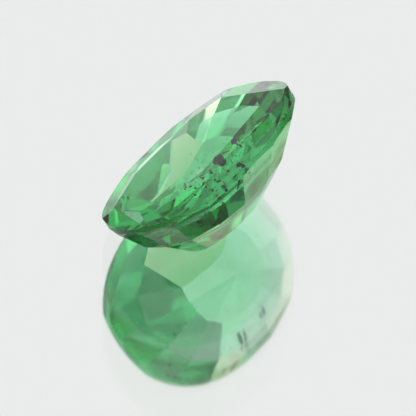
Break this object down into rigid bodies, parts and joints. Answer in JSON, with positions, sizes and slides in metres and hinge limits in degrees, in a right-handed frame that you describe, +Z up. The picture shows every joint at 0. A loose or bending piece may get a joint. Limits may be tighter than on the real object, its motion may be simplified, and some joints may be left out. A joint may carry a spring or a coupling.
{
  "type": "faceted gemstone",
  "caption": "Oval faceted tsavorite garnet with a low crown and a stepped lower side, lying loose on one of its lower facets",
  "frame": {"origin": "on the surface that the stone lies on, under the middle of its box", "axes": "+Z up, +Y along the longest side of the box of the lying stone, +X to its right; the table faces up, back and to the left"},
  "size_m": [0.0062, 0.007, 0.0043],
  "materials": {
    "garnet": "lapidary polish, clear green crystal"
  },
  "bodies": {
    "root": {"tsavorite_garnet": "garnet"}
  },
  "joints": []
}
